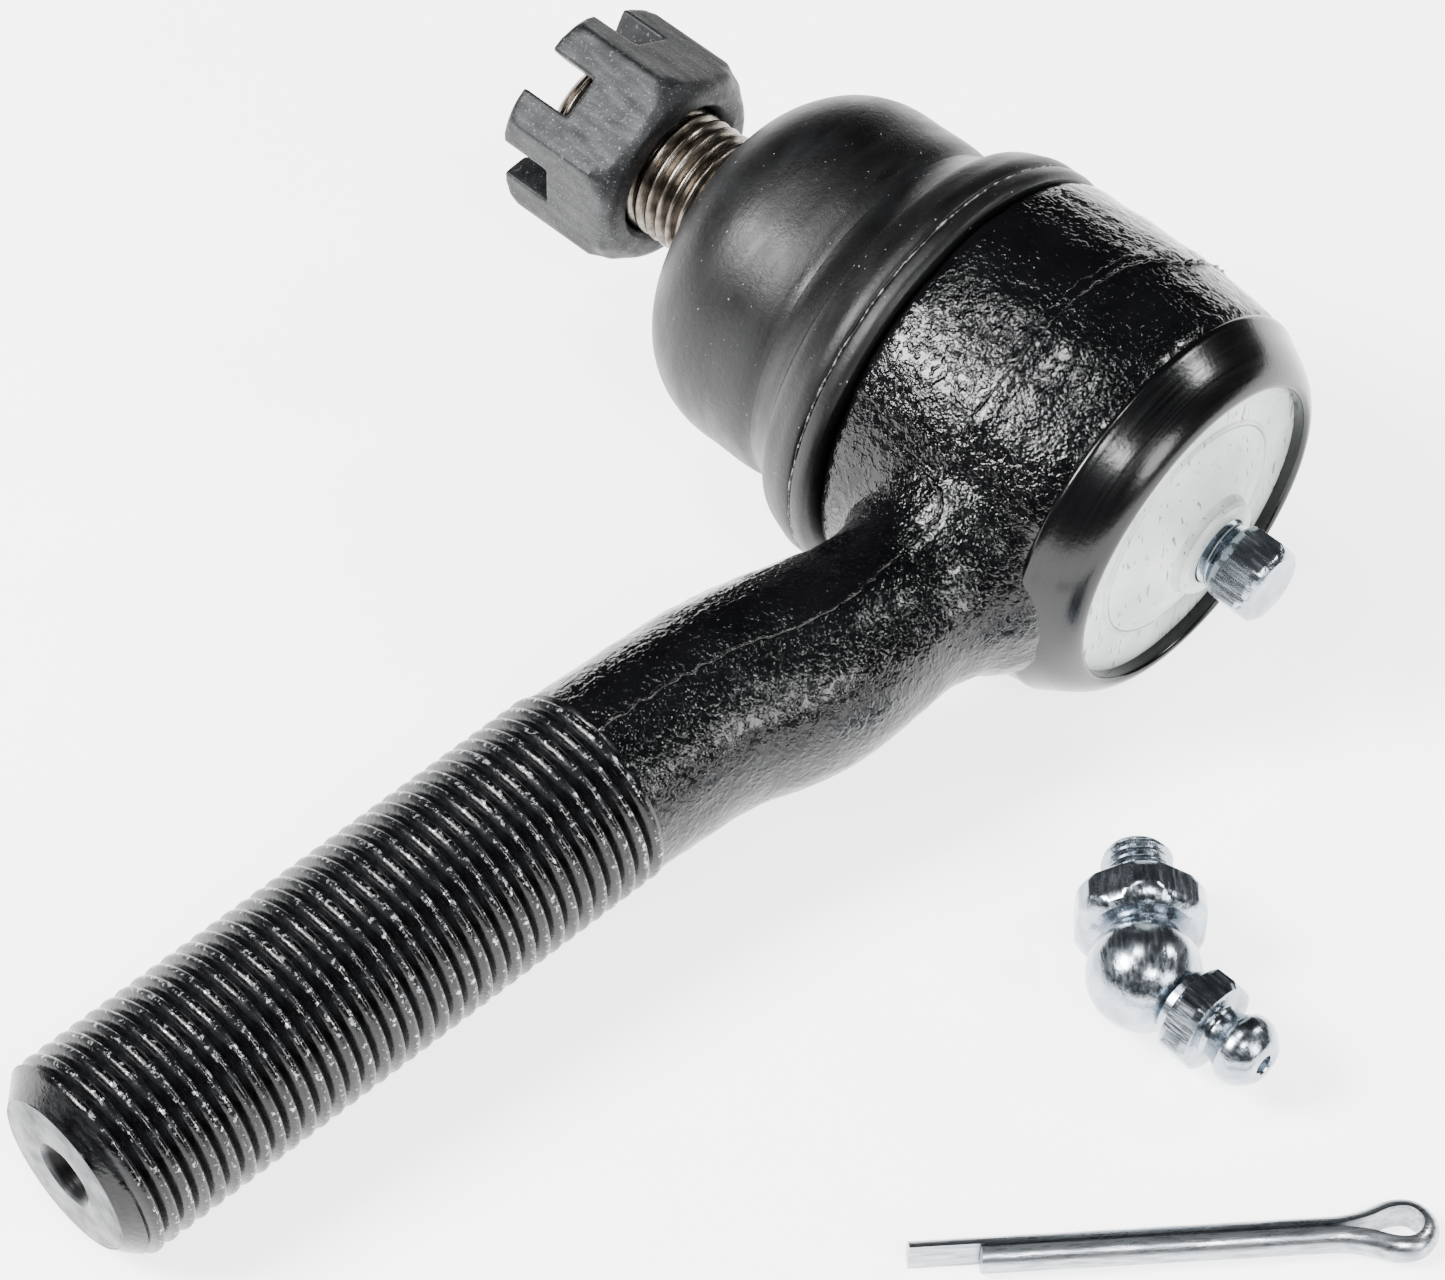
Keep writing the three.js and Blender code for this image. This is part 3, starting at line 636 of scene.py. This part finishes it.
# Moulded rubber: near black with a soft low sheen, a grey bloom and a few motes of dust.
boot_rubber, tree = material("dusty moulded rubber")
bloom = grain(tree, place(tree), 9.0, 3.0)
fine = grain(tree, place(tree), 0.5, 3.0, 0.6)
flow = grain(tree, round_place(tree, 0.6, 0.6, 3.0), 1.0, 4.0)
dusty = {0: ramp(tree, bloom, 0.35, 0.7), 1: ramp(tree, flow, 0.3, 0.7)}
dusty = node(tree, "Math", dusty, operation="MULTIPLY")
motes = ramp(tree, grain(tree, place(tree), 0.4, 1.0), 0.76, 0.8)
rubber = mix(tree, dusty, colour("#040405"), colour("#111213"))
surface(
    tree, Base_Color=mix(tree, motes, rubber, colour("#77787a")),
    Roughness=ramp(tree, flow, 0.3, 0.7, 0.36, 0.5),
    Normal=bump(tree, fine, 0.035, bump(tree, flow, 0.07)), Specular_IOR_Level=0.29,
)


def off_centre(bm):
    """Moves the boot half a millimetre to one side, fading out at the stud, and flat on the table."""
    for v in bm.verts:
        fade = min(1, max(0, (math.hypot(v.co.x, v.co.z) - 8) / 7))
        v.co.x -= 0.5 * fade
        v.co.z -= 0.2 * fade
        v.co.z += max(0, TABLE_GAP - (LYING @ v.co).z)


def bent(piece, start, end):
    """Bakes the piece's placement into its mesh; the boot's rubber is not bent. Its two heights on the
    stud's axis, start and end, are not used.
    """
    start = LYING @ Vector((0, start, 0)) / 1000
    end = LYING @ Vector((0, end, 0)) / 1000
    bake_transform(piece)


bm = bmesh.new()
outline = [(p.x, p.y) for p in smoothed([(r, h, 0) for r, h in BOOT_LOW], 3)]
turned(bm, outline, 180)
off_centre(bm)
boot_low = raw(bm, "boot_skirt")
laid(boot_low, LYING, boot_rubber, None, ["dust_boot"], 60)
bent(boot_low, 17, 20.4)
bm = bmesh.new()
outline = [(p.x, p.y) for p in smoothed([(r, h, 0) for r, h in BOOT_HIGH], 4)]
turned(bm, outline, 180)
off_centre(bm)
boot_high = raw(bm, "boot_bell")
laid(boot_high, LYING, boot_rubber, None, ["dust_boot"], 60)
bent(boot_high, 20.4, 37)

# Boot ring: a thin ring pinched in the crease between the boot's flanges. Only its ragged, dusty
# edge shows.

# A dusty pinched edge: a broken pale line between the two dark flanges.
pale_edge, tree = material("dusty pinched ring")
nibbles = grain(tree, place(tree), 0.8, 3.0, 0.6)
surface(
    tree, Base_Color=mix(tree, ramp(tree, nibbles, 0.48, 0.62), colour("#0c0d0e"), colour("#8b8d8e")),
    Roughness=0.6, Normal=bump(tree, nibbles, 0.05),
)
bm = bmesh.new()
turned(bm, [(20.4, 12.6), (20.9, 12.68), (20.9, 12.76), (20.4, 12.84), (20.4, 12.6)], 360)
for v in bm.verts:
    ragged = noise.noise(Vector((v.co.x, 0, v.co.z)) * 0.7)
    v.co.x *= 1 + 0.006 * ragged
    v.co.z *= 1 + 0.006 * ragged
    v.co.y += 0.1 * noise.noise(Vector((v.co.x, 5, v.co.z)) * 0.5)
off_centre(bm)
pinched = raw(bm, "pinched_ring")
laid(pinched, LYING, pale_edge, "housing", ["boot_retaining_ring"], 180)

# Grease fitting: a loose 45 degree fitting of bright zinc plated steel, with a 1/4-28 thread, a
# hexagon, a round elbow and a pressed-in nipple that has its own hexagonal collar.
FITTING = Matrix.Translation((13.16, -32.003, 6.01)) @ Matrix.Rotation(math.radians(-48.1), 4, "Z")
BASE_FLATS = 11.11
BRANCH = FITTING @ Matrix.Rotation(math.radians(-135), 4, "Z")
bm = bmesh.new()
base = [(0, 2.0), (3.3, 2.0), (3.6, 2.3), (3.78, 2.9), (3.6, 3.5), (3.4, 3.8), (3.6, 3.9), (4.75, 3.95)]
base += [(5.3, 4.3), (5.75, 4.9)]
base += [(5.96, 5.3 + 0.22 * i) for i in range(10)]
base += [(5.75, 7.7), (5.2, 8.12), (4.6, 8.2), (0, 8.2)]
hexed(bm, base, BASE_FLATS, 0.0)
threaded(bm, **GREASE_THREAD, start=8.1, end=13.2, steps=48, chamfer=0.5, runout=0.01)
turned(bm, [(2.7, 13.19), (1.35, 13.19), (1.25, 13.0), (1.25, 9.0), (0, 9.0)], 48)
bmesh.ops.create_uvsphere(bm, u_segments=64, v_segments=40, radius=5.0)
fitting = raw(bm, "elbow")
laid(fitting, FITTING, bright_zinc, "grease_fitting", ["fitting_base"], 30)
bm = bmesh.new()
COLLAR_FLATS = 7.94
corner_r = COLLAR_FLATS / math.sqrt(3)
collar = [(0, 4.4), (3.3, 4.4), (3.3, 5.2), (3.6, 5.2), (4.1, 5.4), (corner_r, 5.85)]
collar += [(corner_r, 5.85 + 0.2 * i) for i in range(1, 10)]
collar += [(4.1, 8.2), (3.6, 8.4), (2.5, 8.4), (2.35, 8.6), (2.3, 8.95), (2.45, 9.6), (2.8, 10.2)]
collar += [(3.15, 10.6), (3.25, 11.0), (3.25, 11.6), (3.15, 12.0), (2.9, 12.45), (2.3, 13.2)]
collar += [(1.9, 13.5), (1.5, 13.6), (1.05, 13.6), (0.9, 13.45), (0.9, 12.9), (0, 12.6)]
hexed(bm, collar, COLLAR_FLATS, math.pi / 6)
nipple = raw(bm, "nipple")
laid(nipple, BRANCH, bright_zinc, "grease_fitting", ["fitting_nipple"], 30)
bm = bmesh.new()
bmesh.ops.create_uvsphere(bm, u_segments=32, v_segments=20, radius=1.15)
bmesh.ops.translate(bm, vec=(0, 11.3, 0), verts=bm.verts)
check_ball = raw(bm, "check_ball_bearing")
laid(check_ball, BRANCH, bright_zinc, "check_ball", ["fitting_check_ball"], 180)

# The fitting's check spring: fine steel wire behind the check ball, which shortens when the ball is
# pushed; here it is built at one fixed length.
SPRING_LOW = 4.4
SPRING_TOP = 9.9
SPRING_R = 0.95
SPRING_WIRE_R = 0.2
SPRING_COILS = 3

# Oiled spring wire: dark grey steel with a thin wet film.
spring_wire, tree = material("oiled spring wire")
film = grain(tree, place(tree), 0.6, 2.0)
surface(
    tree, Base_Color=mix(tree, film, colour("#5a5d62"), colour("#33363a")), Metallic=1.0,
    Roughness=ramp(tree, film, 0.3, 0.7, 0.3, 0.45), Normal=bump(tree, film, 0.02),
)
bm = bmesh.new()
rings = []
for i in range(97):
    angle = 2 * math.pi * SPRING_COILS * i / 96
    out = Vector((math.cos(angle), 0, math.sin(angle)))
    centre = out * SPRING_R + Vector((0, SPRING_LOW + (SPRING_TOP - SPRING_LOW) * i / 96, 0))
    rings.append([
        centre + SPRING_WIRE_R * (out * math.cos(a) + Vector((0, math.sin(a), 0)))
        for a in (2 * math.pi * j / 8 for j in range(8))
    ])
tube(bm, rings)
spring = raw(bm, "check_spring")
laid(spring, BRANCH, spring_wire, "grease_fitting", ["fitting_check_spring"], 60)
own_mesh(spring)

# Cotter pin: half-round steel wire, bright zinc plated, folded flat side to flat side round an eye.
# One leg is longer, so that it can be caught and bent back.
COTTER = Matrix.Translation((6.95, -60.123, 1.42)) @ Matrix.Rotation(math.radians(137.7), 4, "Z")
LONG_LEG = 37.2
SHORT_LEG = 31.3
WIRE_R = 1.42

# Zinc on drawn wire: silver, with fine streaks along the legs.
zinc_wire, tree = material("bright zinc on drawn wire")
drawn = grain(tree, place(tree, (0.12, 1.0, 1.0)), 0.35, 3.0)
surface(
    tree, Base_Color=mix(tree, ramp(tree, drawn, 0.35, 0.7), colour("#a8adb2"), colour("#787e84")),
    Metallic=1.0, Roughness=ramp(tree, drawn, 0.3, 0.7, 0.22, 0.38), Normal=bump(tree, drawn, 0.03),
)
eye = [
    (4, -0.15), (2.4, -0.15), (1, -0.2), (-1, -0.65), (-2.9, -1.4), (-4.3, -1.5), (-5.15, -0.95),
    (-5.55, 0), (-5.15, 0.95), (-4.3, 1.5), (-2.9, 1.4), (-1, 0.65), (1, 0.2), (2.4, 0.15), (4, 0.15),
]
route = [Vector((LONG_LEG - 33.2 * i / 20, -0.15, 0)) for i in range(20)]
route += smoothed([(x, y, 0) for x, y in eye], 6)
route += [Vector((4 + (SHORT_LEG - 4) * i / 20, 0.15, 0)) for i in range(1, 21)]
bm = bmesh.new()
rings = []
for i, centre in enumerate(route):
    slope = route[min(i + 1, len(route) - 1)] - route[max(i - 1, 0)]
    outward = slope.normalized().cross(Vector((0, 0, 1)))
    ring = []
    for j in range(15):
        angle = math.pi * (j / 14 - 0.5)
        across = -outward * WIRE_R * 0.97 * math.cos(angle)
        ring.append(centre + across + Vector((0, 0, WIRE_R * math.sin(angle))))
    rings.append(ring)
tube(bm, rings)
pin = raw(bm, "split_pin")
laid(pin, COTTER, zinc_wire, "cotter_pin", ["cotter_pin"], 40)

# Hidden pieces inside the socket and the boot, kept as the frame has them: the gasket, preload
# spring, seats, liner, half ball and the boot's inner rings. Each has the mottle of its material.
inner_finishes = [
    (
        "oiled spring steel", "#5a5d62", 1.0, 0.35,
        ["preload_spring", "spring_seat", "boot_bead_insert", "boot_neck_ring"],
    ),
    ("moulded acetal", "#d9d5c7", 0.0, 0.45, ["lower_seat", "bearing_liner"]),
    ("oiled sintered iron", "#84765a", 0.8, 0.55, ["half_ball"]),
    ("black gasket rubber", "#151617", 0.0, 0.6, ["cover_gasket"]),
]
for name, tone, metal, rough, members in inner_finishes:
    finish, tree = material(name)
    where = node(tree, "TexCoord").node.outputs["Object"]
    where = node(tree, "VectorMath", {0: where, "Scale": 1000.0}, operation="SCALE")
    mottle = grain(tree, where, 1.5, 3.0)
    deep = [c * 0.6 for c in colour(tone)[:3]] + [1]
    surface(
        tree, Base_Color=mix(tree, ramp(tree, mottle, 0.35, 0.7), colour(tone), deep), Metallic=metal,
        Roughness=ramp(tree, mottle, 0.3, 0.7, rough, rough + 0.15), Normal=bump(tree, mottle, 0.03),
    )
    for member in members:
        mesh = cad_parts[member].data
        mesh.materials.clear()
        mesh.materials.append(finish)

# Surroundings: a pale table under soft studio light, with one broad lamp from the upper left and
# four small ones for the highlights. The table glows a little, so that it stays nearly white.
table_white, tree = material("pale table")
speckle = grain(tree, node(tree, "TexCoord").node.outputs["Object"], 0.02, 2.0)
surface(
    tree, Base_Color=mix(tree, speckle, colour("#f4f4f4"), colour("#ffffff")), Roughness=0.9,
    Emission_Color=colour("#ffffff"), Emission_Strength=3.0,
)
bm = bmesh.new()
bmesh.ops.create_grid(bm, x_segments=1, y_segments=1, size=4)
table = raw(bm, "table")
table.data.materials.append(table_white)
world = bpy.data.worlds.new("studio")
world.use_nodes = True
world.node_tree.nodes["Background"].inputs[0].default_value = colour("#ffffff")
world.node_tree.nodes["Background"].inputs[1].default_value = 0.05
bpy.context.scene.world = world


def lamp(name, at, aim, size, watts):
    light = bpy.data.lights.new(name, "AREA")
    light.shape = "DISK"
    light.size = size
    light.energy = watts
    made = bpy.data.objects.new(name, light)
    bpy.context.scene.collection.objects.link(made)
    made.location = at
    made.rotation_euler = (Vector(aim) - Vector(at)).to_track_quat("-Z", "Y").to_euler()


lamp("key", (-0.44, 0.3, 0.56), (0, 0, 0.02), 0.3, 16)
lamp("front", (-0.24, -0.42, 0.55), (0, 0, 0.02), 0.12, 3)
lamp("side", (0.45, -0.28, 0.5), (0, 0, 0.02), 0.12, 2)
lamp("low", (0.02, -0.7, 0.35), (0, 0, 0.02), 0.3, 4)
lamp("top", (-0.1, 0.2, 0.85), (0, 0, 0.02), 0.15, 3)

# Camera: a long lens from the stem's side, looking down on the cap.
LENS = 135.332
SENSOR = 36
EYE = Vector((-245.479, -178.549, 377.670))
camera = bpy.data.objects.new("camera", bpy.data.cameras.new("camera"))
camera.data.lens = LENS
camera.data.sensor_width = SENSOR
camera.data.clip_end = 10
across = Vector((0.6747777, -0.7379348, 0.0112867))
upwards = Vector((0.5891412, 0.5478039, 0.5939895))
backwards = Vector((-0.4445084, -0.3941614, 0.8043936))
turn = Matrix((across, upwards, backwards)).transposed()
camera.matrix_world = Matrix.Translation(LYING @ EYE / 1000) @ (LYING.to_3x3() @ turn).to_4x4()
bpy.context.scene.collection.objects.link(camera)
bpy.context.scene.camera = camera
